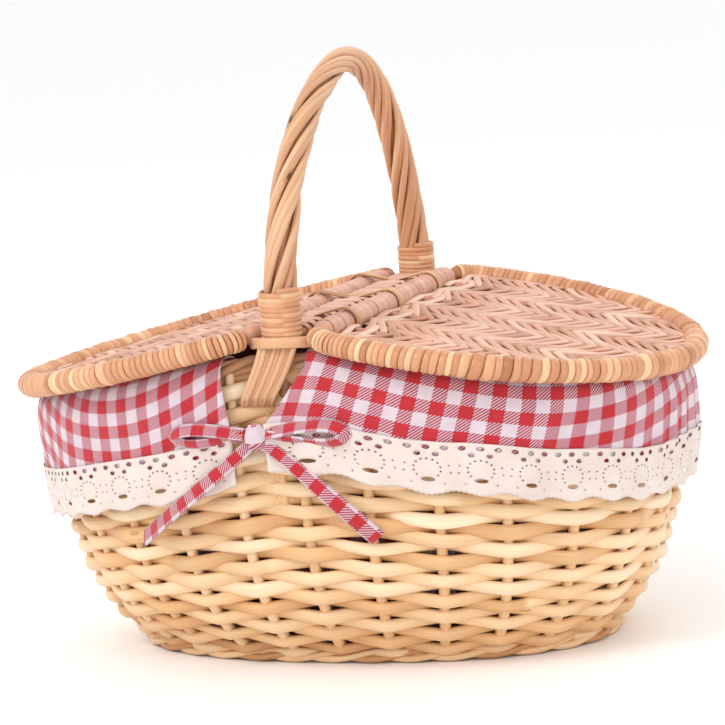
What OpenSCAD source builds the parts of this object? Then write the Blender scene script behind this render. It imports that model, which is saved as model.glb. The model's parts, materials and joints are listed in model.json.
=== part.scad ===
// Oval willow picnic basket: two hinged lids, a fixed twisted handle, a gingham lining with
// a folded-over skirt, a lace edging and a ribbon bow on each long side.
// Origin at the middle of the base, +X along the basket, -Y the front, +Z up.

/* [Basket wall] */
// Half length of the wall at the rim
rim_half_l = 194.5; // [185:0.5:205]
// Half width of the wall at the rim
rim_half_w = 132.5; // [126:0.5:138]
// Half length of the wall where it meets the ground
foot_half_l = 142; // [125:1:155]
// Half width of the wall where it meets the ground
foot_half_w = 74; // [70:1:96]
// Height over which the rounded foot swells out to the full width
swell_h = 42.5; // [30:0.5:55]
// Thickness of the woven wall, over rods and stakes
wall_t = 14; // [12:1:16]
// Number of stakes round the wall
stake_n = 26; // [20:2:32]
// Diameter of a stake
stake_d = 7.5; // [6:0.5:8]

/* [Rim] */
// Diameter of the hoop that edges the wall
hoop_d = 11; // [9:1:12]
// How far the wall is drawn in under the handle, as a share of its width
waist = 0.09; // [0.05:0.01:0.12]

/* [Lids] */
// Height of the hinge axes
hinge_z = 195.4; // [192:0.2:202]
// Distance of each hinge axis from the middle of the basket
hinge_x = 21; // [21:0.5:22]
// Slope of a closed lid, falling outwards, in degrees
lid_angle = 11; // [7:0.5:12]
// Radius of the lid outline, to the outside of its rim
lid_r = 142.5; // [139:0.5:144]
// Distance of the lid outline's centre from the middle of the basket
lid_cx = 67; // [64:1:68]
// Diameter of the wrapped lid rim
lid_rim_d = 14; // [12:1:15]
// Diameter of the wrapped hinge rail
rail_d = 15; // [12:0.5:15]
// Length of the hinge rail
rail_l = 222; // [200:1:222]
// Thickness of the lid's weave
lid_weave_t = 6.5; // [5:0.5:8]
// Ribs in each lid
rib_n = 7; // [5:2:11]

/* [Handle] */
// Half distance between the handle's feet
handle_half_w = 115.5; // [112:0.5:117]
// Height of the top of the handle's centre line
handle_z = 337.5; // [325:0.5:350]
// Diameter over the twisted rods at the handle's feet
handle_d = 19; // [18:0.2:20]
// Diameter over the twisted rods at the top of the handle, where they are pulled tighter
handle_top_d = 15.6; // [14:0.2:19]
// How far the crown of the handle leans towards the back
handle_lean = 19; // [0:1:22]
// Rods twisted round the core
strand_n = 9; // [6:1:10]
// Turns that the rods make from foot to foot
strand_turns = 2.75; // [1.5:0.25:3]
// Height of the skein binding round the front foot
binding_front_h = 29.5; // [20:0.5:32]
// Height of the skein binding round the back foot
binding_back_h = 24; // [20:0.5:32]

/* [Lining] */
// Depth of the left gingham skirt over the rim, measured from the hoop's middle
skirt_drop_left = 38; // [28:1:44]
// Depth of the right skirt, which is pulled up a little more
skirt_drop_right = 32; // [28:1:44]
// Depth of the lace below the skirt
lace_drop = 29; // [20:1:35]
// Thickness of the cloth solids
cloth_t = 1.2; // [1:0.1:1.5]
// Distance from the handle to the edge of each skirt that is pulled in to the bow, at the rim
pulled_edge_x = 15; // [15:1:30]
// Distance from the handle to the skirt's other edge, at the rim
free_edge_x = 34; // [24:1:38]

/* [Bow] */
// Width of the ribbon
ribbon_w = 10; // [8:1:14]
// Reach of each loop from the knot
loop_reach = 50; // [35:1:60]
// Reach of each tail from the knot, along the wall
tail_reach = 72; // [50:1:90]

/* [Hidden] */

willow = "burlywood";
pale_willow = "wheat";
dark_willow = "peru";
gingham = "crimson";
lace_cream = "antiquewhite";

// The wall's plan is an oval a little squarer than an ellipse
oval_n = 2.3;
waist_len = 45;
waist_from_z = 80;
waist_rise = 100;
lid_gap = 0.6;
lid_fall = tan(lid_angle);
hoop_below_lid = (lid_rim_d / 2 + lid_gap + cloth_t + hoop_d / 2 + 0.5) / cos(lid_angle);
wall_round = 72;
wall_rows = [0, 0.03, 0.07, 0.12, 0.18, 0.26, 0.36, 0.5, 0.7, 1];

base_t = 5;
base_stick_d = 5;
lining_floor = 9;
lining_gap = 1.4;

strand_d = 4;
strand_orbit = (handle_d - strand_d) / 2;
core_d = 2 * (strand_orbit - strand_d / 2) - 0.3;
arch_n = 1.91;
arch_foot_z = 192;
core_foot_z = 158;
lean_power = 2.75;
binding_r = 11.9;
wrap_w = 3;

bridge_half_w = 12.2;
bridge_t = 6.4;
bridge_rod_d = 6.4;
bridge_rod_x = 7;
bridge_half_l = 103;
loop_wire = 2.8;
loop_gap = 0.4;
loop_y = [-72, 0, 72];
loop_notch = 5;

rim_core_d = 8;
corner_r = 20;
rim_end_angle = 152;
corner_lap = 0.4;
lid_path_r = lid_r - lid_rim_d / 2;
corner_cx = hinge_x + corner_r;
corner_cy = sqrt(pow(lid_path_r - corner_r, 2) - pow(lid_cx - corner_cx, 2));
corner_angle = atan2(corner_cy, corner_cx - lid_cx);

skirt_steps = 48;
pulled_slant = 24;
free_slant = -6;

bow_x = -15;
bow_z = 142;
knot_d = 14;
tail_fall = 57;

function power(v, e) = sign(v) * pow(abs(v), e);
function ramp(v) = max(0, min(1, v));
function swell(z) = 1 - exp(-max(z, 0) / swell_h);

// Half length and half width of the wall's outside at a height
function half_l(z) = foot_half_l + (rim_half_l - foot_half_l) * swell(z);
function half_w(z) = foot_half_w + (rim_half_w - foot_half_w) * swell(z);
function drawn_in(x, z) =
    1 - waist * ramp((z - waist_from_z) / waist_rise) * exp(-pow(x / waist_len, 2));

// A point of the wall at angle t and height z, inset from the outside
function wall_x(t, z, inset) = (half_l(z) - inset) * power(cos(t), 2 / oval_n);
function wall_at(t, z, inset) =
    let (x = wall_x(t, z, inset))
    [x, (half_w(z) - inset) * power(sin(t), 2 / oval_n) * drawn_in(x, z), z];

// Mid height of a closed lid, and of the hoop under it
function lid_z(x) = hinge_z - lid_fall * max(0, abs(x) - hinge_x);
function hoop_z(x) = lid_z(x) - hoop_below_lid;
function hoop_at(t, inset = wall_t / 2, dz = 0) =
    let (z = hoop_z(wall_x(t, hinge_z, inset)))
    let (p = wall_at(t, z, inset))
    [p.x, p.y, z + dz];

// Front wall angle at a given x and height
function front_t(x, z) = -acos(power(x / half_l(z), oval_n / 2));
function front_at(x, z, off) =
    let (p = wall_at(front_t(x, z), z, -off))
    [x, p.y, z];

// Points of the handle's arch, from the front foot to the back foot, and its thickness there as
// a share of the thickness at its feet
function arch_at(u) =
    let (a = 180 * u)
    [0, handle_lean * power(sin(a), lean_power) - handle_half_w * power(cos(a), 2 / arch_n),
        arch_foot_z + (handle_z - arch_foot_z) * power(sin(a), 2 / arch_n)];
function arch_ratio(u) = 1 - (1 - handle_top_d / handle_d) * pow(sin(180 * u), 2);

function unit(v) = v / norm(v);
function path_dir(p, i, closed) =
    let (n = len(p))
    closed ? unit(p[(i + 1) % n] - p[(i + n - 1) % n])
           : unit(p[min(i + 1, n - 1)] - p[max(i - 1, 0)]);

// Closed surface through equal rings with an even number of points. A ring path either closes or
// has end caps, made as strips that pair the ring's points from the first two on, so that a bent
// section is closed along its own thickness and not across its mouth
module rings_solid(rings, closed = false) {
    n = len(rings);
    m = len(rings[0]);
    last = closed ? n - 1 : n - 2;
    points = [for (r = rings) for (q = r) q];
    sides = [
        for (i = [0:last])
            for (j = [0:m - 1])
                let (a = i * m + j, b = i * m + (j + 1) % m)
                let (c = ((i + 1) % n) * m + (j + 1) % m, d = ((i + 1) % n) * m + j)
                each [[a, b, c], [a, c, d]]
    ];
    end = (n - 1) * m;
    caps = closed ? [] : [
        for (k = [0:m / 2 - 2])
            let (a = k + 1, b = k + 2, c = m - 1 - k, d = (m - k) % m)
            each [[c, b, a], [d, c, a], [end + a, end + b, end + c], [end + a, end + c, end + d]]
    ];
    polyhedron(points, concat(sides, caps), convexity = 6);
}

// Rod swept along points; d is its diameter, or a list of its diameters at the points
module rod_along(path, d, sides = 6, closed = false, up = [0, 0, 1]) {
    rings_solid([
        for (i = [0:len(path) - 1])
            let (t = path_dir(path, i, closed))
            let (s = unit(cross(t, up)), n = cross(s, t))
            let (r = (is_list(d) ? d[i] : d) / 2)
            [for (j = [0:sides - 1])
                let (a = 360 * (j + 0.5) / sides)
                path[i] + r * (cos(a) * s + sin(a) * n)]
    ], closed);
}

function outward(t) =
    let (a = wall_at(t - 1, 180, 0), b = wall_at(t + 1, 180, 0))
    let (d = unit([b.x - a.x, b.y - a.y]))
    [d.y, -d.x, 0];

// ---------- base ----------

module base_weave() {
    color(dark_willow)
        linear_extrude(base_t)
            polygon([for (i = [0:wall_round - 1])
                let (p = wall_at(360 * i / wall_round, 0, wall_t + 0.1))
                [p.x, p.y]]);
}

module base_sticks() {
    long_half = foot_half_l - wall_t - 9;
    short_half = foot_half_w - wall_t - 7;
    color(pale_willow)
        for (k = [-1:1])
            translate([-long_half, 12 * k, base_t])
                rotate([0, 90, 0])
                    cylinder(h = 2 * long_half, d = base_stick_d, $fn = 24);
    color(pale_willow)
        for (k = [-3:3])
            translate([28 * k, short_half * (1 - 0.03 * k * k), base_t])
                rotate([90, 0, 0])
                    cylinder(h = 2 * short_half * (1 - 0.03 * k * k), d = base_stick_d, $fn = 24);
}

module base_border() {
    color(willow)
        rod_along([for (i = [0:wall_round - 1]) wall_at(360 * i / wall_round, 4, 1)],
            5, 6, true);
}

// ---------- wall ----------

module side_weave() {
    color(willow) {
        outer = [for (s = wall_rows) [for (i = [0:wall_round - 1]) wall_point(i, s, 0)]];
        inner = [for (k = [len(wall_rows) - 1:-1:0])
            [for (i = [0:wall_round - 1]) wall_point(i, wall_rows[k], wall_t)]];
        rings_solid(concat(outer, inner), true);
    }
}

// Rings run clockwise seen from above, which turns the faces outwards
function wall_point(i, s, inset) =
    let (t = -360 * i / wall_round)
    let (z = s * (hoop_z(wall_x(t, hinge_z, inset)) - hoop_d / 4))
    wall_at(t, z, inset);

module side_stakes() {
    color(pale_willow)
        for (i = [0:stake_n - 1])
            let (t = 360 * i / stake_n)
            rod_along([for (s = [0.02, 0.06, 0.14, 0.28, 0.6, 1])
                wall_at(t, s * (hoop_z(wall_x(t, hinge_z, 0)) - hoop_d / 4) + 0.5, wall_t / 2)],
                stake_d, 6, false, outward(t));
}

module top_border() {
    color(pale_willow)
        rod_along([for (i = [0:wall_round - 1]) hoop_at(360 * i / wall_round)],
            hoop_d, 8, true);
}

// ---------- handle ----------

module handle_core() {
    arch = [for (i = [0:36]) arch_at(i / 36)];
    thick = [for (i = [0:36]) core_d * arch_ratio(i / 36)];
    foot = [0, -handle_half_w, core_foot_z];
    far_foot = [0, handle_half_w, core_foot_z];
    color(pale_willow)
        rod_along(concat([foot], arch, [far_foot]), concat([core_d], thick, [core_d]), 8,
            false, [1, 0, 0]);
}

module handle_strands() {
    steps = 46;
    color(willow)
        for (k = [0:strand_n - 1])
            rod_along([for (i = [0:steps])
                let (u = i / steps)
                let (t = unit(arch_at(min(1, u + 0.01)) - arch_at(max(0, u - 0.01))))
                let (a = 360 * (k / strand_n + strand_turns * u))
                arch_at(u) + strand_orbit * arch_ratio(u)
                    * (cos(a) * [1, 0, 0] + sin(a) * cross(t, [1, 0, 0]))],
                [for (i = [0:steps]) strand_d * arch_ratio(i / steps)], 6, false, [1, 0, 0]);
}

// Bound foot of the handle: close turns of skein round the rods
module binding(h) {
    wraps = round(h / wrap_w);
    pitch = h / wraps;
    inner_r = handle_d / 2 + 0.1;
    color(dark_willow)
        rotate_extrude($fn = 48)
            union() {
                translate([inner_r, 0])
                    square([binding_r - inner_r - pitch / 3, h]);
                for (k = [0:wraps - 1])
                    translate([binding_r - pitch / 2, pitch * (k + 0.5)])
                        circle(d = pitch, $fn = 16);
            }
}

module handle_binding_front() {
    translate([0, -handle_half_w, arch_foot_z + 0.5])
        binding(binding_front_h);
}

module handle_binding_back() {
    translate([0, handle_half_w, arch_foot_z + 0.5])
        binding(binding_back_h);
}

// Ends of the handle's rods, splayed over the top rows of the wall
module fan() {
    rods = 7;
    color(pale_willow)
        for (k = [0:rods - 1])
            let (v = k / (rods - 1) - 0.5)
            rod_along([for (i = [0:5])
                let (u = i / 5)
                front_at(20 * v * (1 - 0.5 * u) - 16 * u * u, arch_foot_z - 1 - 34 * u, 2.6)],
                3, 6, false, [0, 1, 0]);
}

module handle_fan_front() {
    fan();
}

module handle_fan_back() {
    rotate([0, 0, 180])
        fan();
}

// ---------- bridge between the lids ----------

module bridge_rod(side) {
    color(pale_willow)
        translate([side * bridge_rod_x, bridge_half_l, hinge_z])
            rotate([90, 0, 0])
                cylinder(h = 2 * bridge_half_l, d = bridge_rod_d, $fn = 32);
}

module bridge_rod_left() {
    bridge_rod(-1);
}

module bridge_rod_right() {
    bridge_rod(1);
}

module bridge_weave() {
    long = 2 * (bridge_half_l - 2);
    color(dark_willow)
        difference() {
            translate([0, long / 2, hinge_z])
                rotate([90, 0, 0])
                    linear_extrude(long)
                        union() {
                            square([2 * (bridge_half_w - 4), bridge_t + 2], center = true);
                            for (side = [-1, 1])
                                translate([side * (bridge_half_w - 4.2), 0])
                                    circle(d = bridge_t + 2, $fn = 32);
                        }
            for (side = [-1, 1])
                translate([side * bridge_rod_x, bridge_half_l, hinge_z])
                    rotate([90, 0, 0])
                        cylinder(h = 2 * bridge_half_l, d = bridge_rod_d + 0.1, $fn = 32);
        }
}

// Rings of skein that hold a lid's rail to the bridge
module hinge_loops(side) {
    ring_r = rail_d / 2 + loop_gap + loop_wire / 2;
    color(pale_willow)
        for (y = loop_y)
            translate([side * hinge_x, y, hinge_z])
                rotate([90, 0, 0])
                    rotate_extrude($fn = 48)
                        translate([ring_r, 0])
                            circle(d = loop_wire, $fn = 24);
}

module hinge_loops_left() {
    hinge_loops(-1);
}

module hinge_loops_right() {
    hinge_loops(1);
}

// ---------- lids ----------

// Puts a shape drawn flat, hinge axis at x = 0 and lid towards +X, in its closed place
module lid_place(side) {
    mirror([side < 0 ? 1 : 0, 0, 0])
        translate([hinge_x, 0, hinge_z])
            rotate([0, lid_angle, 0])
                children();
}

module lid_rail(side) {
    color(dark_willow)
        lid_place(side) {
            translate([0, rail_l / 2 - rail_d / 2, 0])
                rotate([90, 0, 0])
                    cylinder(h = rail_l - rail_d, d = rail_d, $fn = 48);
            for (end = [-1, 1])
                translate([0, end * (rail_l - rail_d) / 2, 0])
                    sphere(d = rail_d, $fn = 48);
        }
}

// A ring or disc section carried along the lid's outline: the long arc, then its two corners,
// whose section is a hair thinner so that they end inside the arc
module lid_outline_sweep(d, hole = 0) {
    thinner = 0.1;
    translate([lid_cx - hinge_x, 0, 0])
        rotate([0, 0, -corner_angle - corner_lap])
            rotate_extrude(angle = 2 * (corner_angle + corner_lap), $fn = 96)
                translate([lid_path_r, 0])
                    rim_section(d, hole);
    for (end = [-1, 1])
        translate([corner_r, end * corner_cy, 0])
            rotate([0, 0, end > 0 ? corner_angle : -rim_end_angle])
                rotate_extrude(angle = rim_end_angle - corner_angle, $fn = 96)
                    translate([corner_r, 0])
                        rim_section(d - thinner, hole > 0 ? hole + thinner : 0);
}

module rim_section(d, hole) {
    difference() {
        circle(d = d, $fn = 32);
        if (hole > 0)
            circle(d = hole, $fn = 24);
    }
}

module lid_rim(side) {
    color(pale_willow)
        lid_place(side)
            lid_outline_sweep(rim_core_d);
}

module lid_rim_wrap(side) {
    color(willow)
        lid_place(side)
            lid_outline_sweep(lid_rim_d, rim_core_d);
}

module lid_ribs(side) {
    spread = 2 * (corner_cy - 12);
    reach = lid_path_r - lid_rim_d / 2 - 1;
    color(pale_willow)
        lid_place(side)
            for (k = [0:rib_n - 1])
                let (v = k / (rib_n - 1) - 0.5)
                let (y1 = spread * v, y0 = y1 * 0.86)
                let (x1 = lid_cx - hinge_x + sqrt(pow(reach, 2) - pow(y1, 2)))
                let (x0 = rail_d / 2 + loop_notch)
                translate([x0, y0, 0])
                    rotate([0, 0, atan2(y1 - y0, x1 - x0)])
                        rotate([0, 90, 0])
                            cylinder(h = norm([x1 - x0, y1 - y0]), d = 4.4, $fn = 24);
}

// Points of the lid's outline at a distance inside the rim's centre line
function lid_outline(inset) = concat(
    [[0, -corner_cy]],
    [for (i = [1:6])
        let (a = 180 + (180 - corner_angle) * i / 6)
        [corner_r + (corner_r - inset) * cos(a), -corner_cy + (corner_r - inset) * sin(a)]],
    [for (i = [0:40])
        let (a = corner_angle * (i / 20 - 1))
        [lid_cx - hinge_x + (lid_path_r - inset) * cos(a), (lid_path_r - inset) * sin(a)]],
    [for (i = [0:5])
        let (a = corner_angle + (180 - corner_angle) * (i + 0.5) / 6)
        [corner_r + (corner_r - inset) * cos(a), corner_cy + (corner_r - inset) * sin(a)]],
    [[0, corner_cy]]
);

module lid_weave(side) {
    color(dark_willow)
        lid_place(side)
            difference() {
                translate([0, 0, -lid_weave_t / 2])
                    linear_extrude(lid_weave_t)
                        polygon(lid_outline(lid_rim_d / 2 - 0.5));
                translate([0, lid_r, 0])
                    rotate([90, 0, 0])
                        cylinder(h = 2 * lid_r, d = rail_d, $fn = 48);
                for (y = loop_y)
                    translate([0, y - loop_notch, -lid_weave_t])
                        cube([rail_d / 2 + loop_notch, 2 * loop_notch, 2 * lid_weave_t]);
            }
}

module left_rail() {
    lid_rail(-1);
}

module left_rim() {
    lid_rim(-1);
}

module left_rim_wrap() {
    lid_rim_wrap(-1);
}

module left_ribs() {
    lid_ribs(-1);
}

module left_weave() {
    lid_weave(-1);
}

module right_rail() {
    lid_rail(1);
}

module right_rim() {
    lid_rim(1);
}

module right_rim_wrap() {
    lid_rim_wrap(1);
}

module right_ribs() {
    lid_ribs(1);
}

module right_weave() {
    lid_weave(1);
}

// ---------- lining, skirt and lace ----------

module lining_bag() {
    rows = [0, 0.05, 0.11, 0.19, 0.29, 0.42, 0.64, 1];
    inset = wall_t + lining_gap;
    bag_top = hoop_d / 2 + 4;
    function bag_point(i, s, extra) =
        let (t = -360 * i / wall_round)
        let (top = hoop_z(wall_x(t, hinge_z, inset)) - bag_top)
        let (z = lining_floor + s * (top - lining_floor) + (s < 0.01 ? extra : 0))
        wall_at(t, z, inset + extra);
    outer = [for (s = rows) [for (i = [0:wall_round - 1]) bag_point(i, s, 0)]];
    inner = [for (k = [len(rows) - 1:-1:0])
        [for (i = [0:wall_round - 1]) bag_point(i, rows[k], cloth_t)]];
    color(gingham)
        rings_solid(concat(outer, inner));
}

// Wall angle at a signed distance x from the handle, on the back for side 1, the front for -1
function rim_t(x, side) = side * acos(power(x / rim_half_l, oval_n / 2));

// Angles along the right half of the rim at height dz, from the pulled edge at the front, which
// slants towards the bow below the rim, to the free edge at the back
function skirt_t(i, dz, drop) =
    let (v = ramp(-dz / drop))
    let (t0 = rim_t(pulled_edge_x - pulled_slant * v, -1))
    let (t1 = rim_t(free_edge_x + free_slant * v, 1))
    t0 + (t1 - t0) * i / skirt_steps;

// A point of the cloth over the rim: inset from the wall's outside, dz above the hoop's middle
function cloth_at(t, inset, dz) =
    wall_at(t, hoop_z(wall_x(t, hinge_z, wall_t / 2)) + dz, inset);

module cloth_band(section, drop) {
    rings_solid([for (i = [0:skirt_steps])
        [for (q = section) cloth_at(skirt_t(i, q.y, drop), q.x, q.y)]]);
}

module lining_skirt(drop) {
    out = 1.8;
    in = wall_t + 1.4;
    top = hoop_d / 2 + 0.5;
    color(gingham)
        cloth_band([
            [-out, -drop], [-out - cloth_t, -drop], [-out - cloth_t, -drop / 2],
            [-out - cloth_t, 0], [2, top + cloth_t], [12, top + cloth_t], [in + cloth_t, 1],
            [in + cloth_t, -7], [in, -7], [in, 0], [11, top], [3, top], [-out, -1],
            [-out, -drop / 2]
        ], drop);
}

module lining_skirt_left() {
    rotate([0, 0, 180])
        lining_skirt(skirt_drop_left);
}

module lining_skirt_right() {
    lining_skirt(skirt_drop_right);
}

module lace(drop) {
    out = 1;
    high = -drop - 0.1;
    low = high - lace_drop;
    mid = (high + low) / 2;
    color(lace_cream)
        cloth_band([
            [-out, low], [-out - 1, low], [-out - 1, mid], [-out - 1, high], [-out, high],
            [-out, mid]
        ], drop);
}

module lace_left() {
    rotate([0, 0, 180])
        lace(skirt_drop_left);
}

module lace_right() {
    lace(skirt_drop_right);
}

// ---------- bow ----------

// Flat ribbon along points on the front of the wall
module ribbon(path, w) {
    rings_solid([
        for (i = [0:len(path) - 1])
            let (t = path_dir(path, i, false))
            let (s = unit(cross(t, [0, -1, 0])))
            [path[i] + w / 2 * s, path[i] + w / 2 * s - [0, cloth_t, 0],
                path[i] - w / 2 * s - [0, cloth_t, 0], path[i] - w / 2 * s]
    ]);
}

module bow() {
    off = 4.5;
    color(gingham) {
        translate(front_at(bow_x, bow_z, knot_d / 2 + 0.4))
            sphere(d = knot_d, $fn = 32);
        for (side = [-1, 1]) {
            ribbon([for (i = [0:8])
                let (a = 180 * i / 8)
                let (x = bow_x + side * (5 + (loop_reach - 5) * sin(a)))
                front_at(x, bow_z + 3 + 7 * cos(a), off)], ribbon_w);
            ribbon([for (i = [0:8])
                let (u = i / 8)
                front_at(bow_x + side * (4 + tail_reach * u), bow_z - 2 - tail_fall * u, off)],
                ribbon_w);
        }
    }
}

module bow_front() {
    bow();
}

module bow_back() {
    rotate([0, 0, 180])
        bow();
}

base_sticks();
base_weave();
base_border();
side_stakes();
side_weave();
top_border();
handle_core();
handle_strands();
handle_binding_front();
handle_binding_back();
handle_fan_front();
handle_fan_back();
bridge_rod_left();
bridge_rod_right();
bridge_weave();
hinge_loops_left();
hinge_loops_right();
lining_bag();
lining_skirt_left();
lining_skirt_right();
lace_left();
lace_right();
bow_front();
bow_back();
left_rail();
left_rim();
left_rim_wrap();
left_ribs();
left_weave();
right_rail();
right_rim();
right_rim_wrap();
right_ribs();
right_weave();
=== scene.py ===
"""Looks of the oval willow picnic basket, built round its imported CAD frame.

Metres, in the CAD's own frame: +X along the basket, -Y the front, +Z up.
"""
import json
import math

import bpy
import numpy as np
from mathutils import Matrix, Vector
from mathutils.geometry import delaunay_2d_cdt


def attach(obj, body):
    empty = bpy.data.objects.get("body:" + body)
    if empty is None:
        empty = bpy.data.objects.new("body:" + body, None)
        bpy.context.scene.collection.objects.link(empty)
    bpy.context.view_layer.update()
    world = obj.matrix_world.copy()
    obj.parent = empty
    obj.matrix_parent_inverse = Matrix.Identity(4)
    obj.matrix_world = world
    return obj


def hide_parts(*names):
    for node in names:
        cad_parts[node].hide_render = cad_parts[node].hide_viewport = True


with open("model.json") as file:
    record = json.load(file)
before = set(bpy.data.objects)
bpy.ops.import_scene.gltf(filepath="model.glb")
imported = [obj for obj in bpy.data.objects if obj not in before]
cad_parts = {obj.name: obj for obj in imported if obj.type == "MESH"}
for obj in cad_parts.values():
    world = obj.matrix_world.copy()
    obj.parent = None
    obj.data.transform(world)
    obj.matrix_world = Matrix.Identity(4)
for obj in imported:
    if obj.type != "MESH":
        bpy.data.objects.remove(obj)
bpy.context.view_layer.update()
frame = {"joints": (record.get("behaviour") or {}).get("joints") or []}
dice = np.random.default_rng(7)

MM = 0.001
TURN = 2 * math.pi
UP = np.array([0, 0, 1.0])

# ---------- the basket's driving sizes, as the CAD model has them ----------

RIM_HALF = (194.5 * MM, 132.5 * MM)
FOOT_HALF = (142 * MM, 74 * MM)
SWELL_H = 42.5 * MM
WALL_T = 14 * MM
OVAL_N = 2.3
WAIST, WAIST_LEN, WAIST_FROM, WAIST_RISE = 0.09, 45 * MM, 80 * MM, 100 * MM

HINGE = {j["child"]: j["pos_m"] for j in frame["joints"]}
HINGE_X, HINGE_Z = HINGE["right_lid"][0], HINGE["right_lid"][2]
LID_ANGLE = math.radians(11)
LID_CX, LID_PATH_R, LID_CORNER_R = 46 * MM, 135.5 * MM, 20 * MM
LID_RIM_END = math.radians(152)
HOOP_BELOW_LID = 14.8 * MM / math.cos(LID_ANGLE)
LOOP_Y = (-72 * MM, 0.0, 72 * MM)
RAIL_HALF, RAIL_R = 111 * MM, 7.5 * MM

HANDLE_HALF_W = 115.5 * MM
HANDLE_Z, HANDLE_FOOT_Z = 337.5 * MM, 192 * MM
HANDLE_LEAN, LEAN_POWER, HANDLE_TOP_SHARE = 19 * MM, 2.75, 15.6 / 19
ARCH_N = 1.91
BINDING_H = {"front": 29.5 * MM, "back": 24 * MM}
BRIDGE_ROD_X, BRIDGE_HALF_L = 7 * MM, 103 * MM

SKIRT_DROP, LACE_DROP = {"left": 38 * MM, "right": 32 * MM}, 29 * MM
SKIRT_UNDER_LACE = 10 * MM
PULLED_EDGE_X, FREE_EDGE_X = 15 * MM, 34 * MM
PULLED_SLANT, FREE_SLANT = 24 * MM, -6 * MM
BOW_X, BOW_Z = -15 * MM, 142 * MM

ENDS, SIDES = (("front", -1), ("back", 1)), (("left", -1), ("right", 1))
STAKES = 26
STAKE_SHIFT = 0.655
GIRTH_Z = 120 * MM


# ---------- shape of the wall ----------

def power(v, e):
    return np.sign(v) * np.abs(v) ** e


def swell(z):
    return 1 - np.exp(-np.maximum(z, 0) / SWELL_H)


def half(z, axis):
    return FOOT_HALF[axis] + (RIM_HALF[axis] - FOOT_HALF[axis]) * swell(z)


def wall_x(t, z, inset):
    return (half(z, 0) - inset) * power(np.cos(t), 2 / OVAL_N)


def wall_at(t, z, inset=0.0):
    """Points of the wall at angles t and heights z, inset from its outside."""
    t, z, inset = np.broadcast_arrays(*(np.asarray(v, float) for v in (t, z, inset)))
    x = wall_x(t, z, inset)
    drawn = 1 - WAIST * np.clip((z - WAIST_FROM) / WAIST_RISE, 0, 1) * np.exp(-(x / WAIST_LEN) ** 2)
    y = (half(z, 1) - inset) * power(np.sin(t), 2 / OVAL_N) * drawn
    return np.stack([x, y, z], -1)


def outward(t, z):
    """Unit normals of the wall's outside."""
    e = 1e-3
    around = wall_at(t + e, z) - wall_at(t - e, z)
    up = wall_at(t, z + e) - wall_at(t, z - e)
    return unit(np.cross(around, up))


def unit(v):
    return v / np.maximum(np.linalg.norm(v, axis=-1, keepdims=True), 1e-12)


def run_along(path):
    """Length along a path of points, from 0 at its first."""
    return np.concatenate([[0], np.cumsum(np.linalg.norm(np.diff(path, axis=0), axis=1))])


def lid_z(x):
    return HINGE_Z - math.tan(LID_ANGLE) * np.maximum(0, np.abs(x) - HINGE_X)


def hoop_z(t):
    """Mid height of the rim's hoop at angle t."""
    return lid_z(wall_x(t, HINGE_Z, WALL_T / 2)) - HOOP_BELOW_LID


TABLE_T = np.linspace(0, TURN, 1441)
TABLE_S = run_along(wall_at(TABLE_T, GIRTH_Z))
GIRTH = TABLE_S[-1]


def angle_at(share):
    """Wall angle at a share of the way round, by length."""
    return np.interp(np.mod(share, 1) * GIRTH, TABLE_S, TABLE_T)


def length_at(t):
    """Length round the wall at angle t, growing past a full turn."""
    turns = np.floor(np.asarray(t) / (TURN))
    return np.interp(t - turns * TURN, TABLE_T, TABLE_S) + turns * GIRTH


def rim_t(x, side):
    """Wall angle at a distance x from the handle, on the back for side 1, the front for -1."""
    return side * math.acos(power(x / RIM_HALF[0], OVAL_N / 2))


# ---------- materials ----------

class Nodes:
    """Short way to add linked shader nodes to a material."""

    def __init__(self, name):
        self.material = bpy.data.materials.new(name)
        self.material.use_nodes = True
        self.tree = self.material.node_tree
        self.shader = self.tree.nodes["Principled BSDF"]

    def add(self, kind, ins=None, **settings):
        node = self.tree.nodes.new("ShaderNode" + kind)
        for key, value in settings.items():
            setattr(node, key, value)
        for key, value in (ins or {}).items():
            self.put(node.inputs[key], value)
        return node

    def put(self, socket, value):
        if isinstance(value, bpy.types.NodeSocket):
            self.tree.links.new(value, socket)
        else:
            socket.default_value = value

    def math(self, operation, a, b=0.0, c=0.0):
        node = self.add("Math", {0: a, 1: b, 2: c}, operation=operation)
        return node.outputs[0]

    def times(self, a, b):
        return self.math("MULTIPLY", a, b)

    def mix(self, factor, a, b, blend="MIX"):
        node = self.add("Mix", data_type="RGBA", blend_type=blend)
        self.put(node.inputs["Factor"], factor)
        self.put(node.inputs[6], a)
        self.put(node.inputs[7], b)
        return node.outputs[2]

    def ramp(self, value, stops):
        node = self.add("ValToRGB", {0: value})
        elements = node.color_ramp.elements
        for k, (place, colour) in enumerate(stops):
            element = elements[k] if k < 2 else elements.new(place)
            element.position = place
            element.color = (*colour, 1)
        return node.outputs[0]

    def noise(self, vector, scale, detail=2.0, rough=0.5):
        node = self.add("TexNoise", {"Vector": vector, "Scale": scale, "Detail": detail,
                                     "Roughness": rough})
        return node.outputs["Fac"]

    def stretched(self, vector, scale):
        return self.add("Mapping", {"Vector": vector, "Scale": scale}).outputs[0]

    def bump(self, height, strength, distance, normal=None):
        node = self.add("Bump", {"Height": height, "Strength": strength, "Distance": distance})
        if normal is not None:
            self.put(node.inputs["Normal"], normal)
        return node.outputs[0]


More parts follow.
